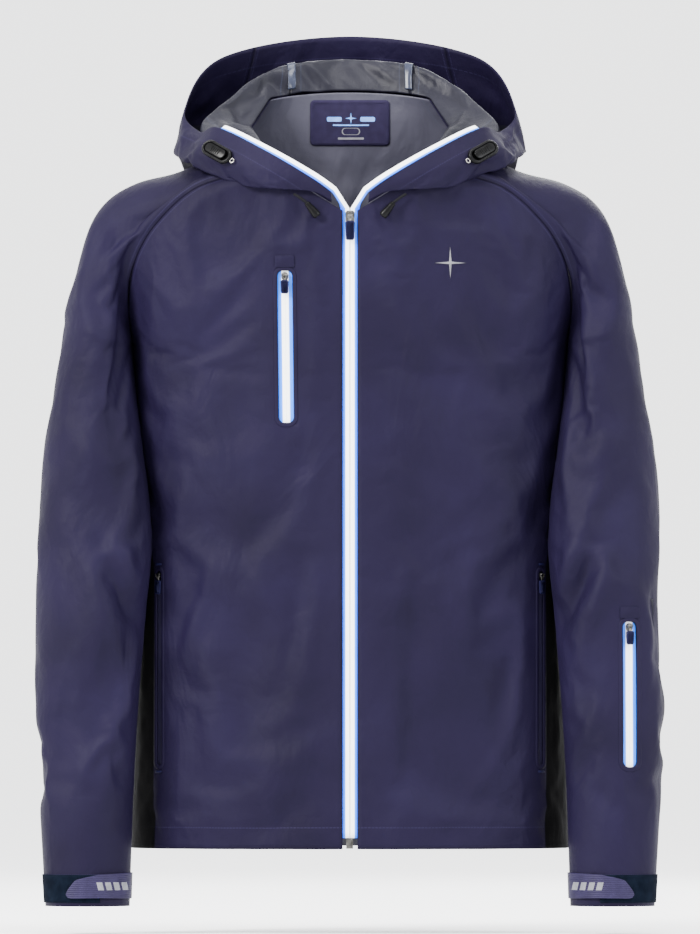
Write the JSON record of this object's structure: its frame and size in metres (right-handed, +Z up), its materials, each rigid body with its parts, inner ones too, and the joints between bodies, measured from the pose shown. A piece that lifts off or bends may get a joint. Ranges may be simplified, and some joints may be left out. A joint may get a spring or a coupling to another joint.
{
  "type": "foul weather jacket",
  "caption": "Hooded waterproof sailing jacket in its worn shape, with a zipped front, chest, hand and forearm pockets, adjustable cuffs and drawcords.",
  "frame": {"origin": "inside of the back of the neck, at the middle of the neck seam, where a hook or a neck carries the jacket", "axes": "+Z up along the back, -Y towards the front zip, +X towards the wearer's left"},
  "size_m": [0.6796, 0.3386, 0.9342],
  "materials": {
    "shell_fabric": "matt coated woven nylon, navy outside and grey inside",
    "lining_fabric": "smooth grey lining",
    "zip_white": "smooth white coated tape with a thin blue edge",
    "zip_navy": "smooth navy coated tape",
    "coil_black": "moulded zip coil",
    "zip_metal": "dark plated metal",
    "moulded_navy": "soft moulded rubber",
    "moulded_black": "gloss moulded plastic",
    "cord_black": "braided cord",
    "hook_loop": "napped hook and loop",
    "label_fabric": "woven label with a thin border",
    "silver_print": "thin silver print"
  },
  "bodies": {
    "garment": {"chest_tape": "zip_white", "chest_coil": "coil_black", "hand_right_tape": "zip_navy", "hand_right_coil": "coil_black", "hand_left_tape": "zip_navy", "hand_left_coil": "coil_black", "forearm_tape": "zip_white", "forearm_coil": "coil_black", "front_panel_right": "shell_fabric", "front_panel_left": "shell_fabric", "back_panel": "shell_fabric", "sleeve_right": "shell_fabric", "hood_side_right": "shell_fabric", "sleeve_left": "shell_fabric", "hood_side_left": "shell_fabric", "hood_center_panel": "shell_fabric", "chest_pocket_bag": "lining_fabric", "hand_right_pocket_bag": "lining_fabric", "hand_left_pocket_bag": "lining_fabric", "forearm_pocket_bag": "lining_fabric", "front_tape_right": "zip_white", "front_coil_right": "coil_black", "front_tape_left": "zip_white", "front_coil_left": "coil_black", "retainer_box": "zip_metal", "insertion_pin": "zip_metal", "cuff_loop_right": "hook_loop", "cuff_loop_left": "hook_loop", "adjuster_rim_right": "moulded_black", "adjuster_rim_left": "moulded_black", "drawcord_tail_right": "cord_black", "cord_bell_right": "moulded_black", "drawcord_tail_left": "cord_black", "cord_bell_left": "moulded_black", "neck_label": "label_fabric", "chest_mark": "silver_print"},
    "front_zip_slider": {"front_slider": "zip_metal"},
    "front_zip_pull": {"front_pull": "moulded_navy"},
    "chest_zip_slider": {"chest_slider": "zip_metal"},
    "chest_zip_pull": {"chest_pull": "moulded_navy"},
    "forearm_zip_slider": {"forearm_slider": "zip_metal"},
    "forearm_zip_pull": {"forearm_pull": "moulded_navy"},
    "hand_left_zip_slider": {"hand_left_slider": "zip_metal"},
    "hand_left_zip_pull": {"hand_left_pull": "moulded_navy"},
    "hand_right_zip_slider": {"hand_right_slider": "zip_metal"},
    "hand_right_zip_pull": {"hand_right_pull": "moulded_navy"},
    "cuff_flap_right": {"cuff_tab_right": "moulded_navy", "cuff_hook_right": "hook_loop"},
    "cuff_flap_left": {"cuff_tab_left": "moulded_navy", "cuff_hook_left": "hook_loop"},
    "adjuster_press_right": {"adjuster_button_right": "moulded_black"},
    "adjuster_press_left": {"adjuster_button_left": "moulded_black"}
  },
  "joints": [
    {"name": "front_zip_slide", "type": "slide", "parent": "garment", "child": "front_zip_slider", "axis": [0, -0.0267, -0.9996], "range_m": [0, 0.65]},
    {"name": "front_pull_swing", "type": "hinge", "parent": "front_zip_slider", "child": "front_zip_pull", "pos_m": [0, -0.20227, -0.13467], "axis": [-1, 0, 0], "range_deg": [0, 140]},
    {"name": "chest_zip_slide", "type": "slide", "parent": "garment", "child": "chest_zip_slider", "axis": [0.0117, -0.0242, -0.9996], "range_m": [0, 0.148]},
    {"name": "chest_pull_swing", "type": "hinge", "parent": "chest_zip_slider", "child": "chest_zip_pull", "pos_m": [-0.07002, -0.20121, -0.19784], "axis": [-0.9955, 0.0936, -0.0139], "range_deg": [0, 140]},
    {"name": "forearm_zip_slide", "type": "slide", "parent": "garment", "child": "forearm_zip_slider", "axis": [0.0038, -0.0603, -0.9982], "range_m": [0, 0.141]},
    {"name": "forearm_pull_swing", "type": "hinge", "parent": "forearm_zip_slider", "child": "forearm_zip_pull", "pos_m": [0.29904, -0.21499, -0.57255], "axis": [-0.9587, -0.2841, 0.0136], "range_deg": [0, 140]},
    {"name": "hand_left_zip_slide", "type": "slide", "parent": "garment", "child": "hand_left_zip_slider", "axis": [0, -0.0391, -0.9992], "range_m": [0, 0.193]},
    {"name": "hand_left_pull_swing", "type": "hinge", "parent": "hand_left_zip_slider", "child": "hand_left_zip_pull", "pos_m": [0.20568, -0.15328, -0.5189], "axis": [-0.6818, -0.731, 0.0286], "range_deg": [0, 25]},
    {"name": "hand_right_zip_slide", "type": "slide", "parent": "garment", "child": "hand_right_zip_slider", "axis": [0, -0.0391, -0.9992], "range_m": [0, 0.193]},
    {"name": "hand_right_pull_swing", "type": "hinge", "parent": "hand_right_zip_slider", "child": "hand_right_zip_pull", "pos_m": [-0.20568, -0.15328, -0.5189], "axis": [-0.6818, 0.731, -0.0286], "range_deg": [0, 25]},
    {"name": "cuff_tab_right_peel", "type": "hinge", "parent": "garment", "child": "cuff_flap_right", "pos_m": [-0.23375, -0.18766, -0.85006], "axis": [0.0306, 0.0357, 0.9989], "range_deg": [0, 70]},
    {"name": "cuff_tab_left_peel", "type": "hinge", "parent": "garment", "child": "cuff_flap_left", "pos_m": [0.23375, -0.18766, -0.85006], "axis": [0.0306, -0.0357, -0.9989], "range_deg": [0, 70]},
    {"name": "adjuster_right_press", "type": "slide", "parent": "garment", "child": "adjuster_press_right", "axis": [0.4224, 0.8029, -0.4206], "range_m": [0, 0.0015], "stiffness_N_per_m": 400},
    {"name": "adjuster_left_press", "type": "slide", "parent": "garment", "child": "adjuster_press_left", "axis": [-0.4224, 0.8029, -0.4206], "range_m": [0, 0.0015], "stiffness_N_per_m": 400}
  ]
}
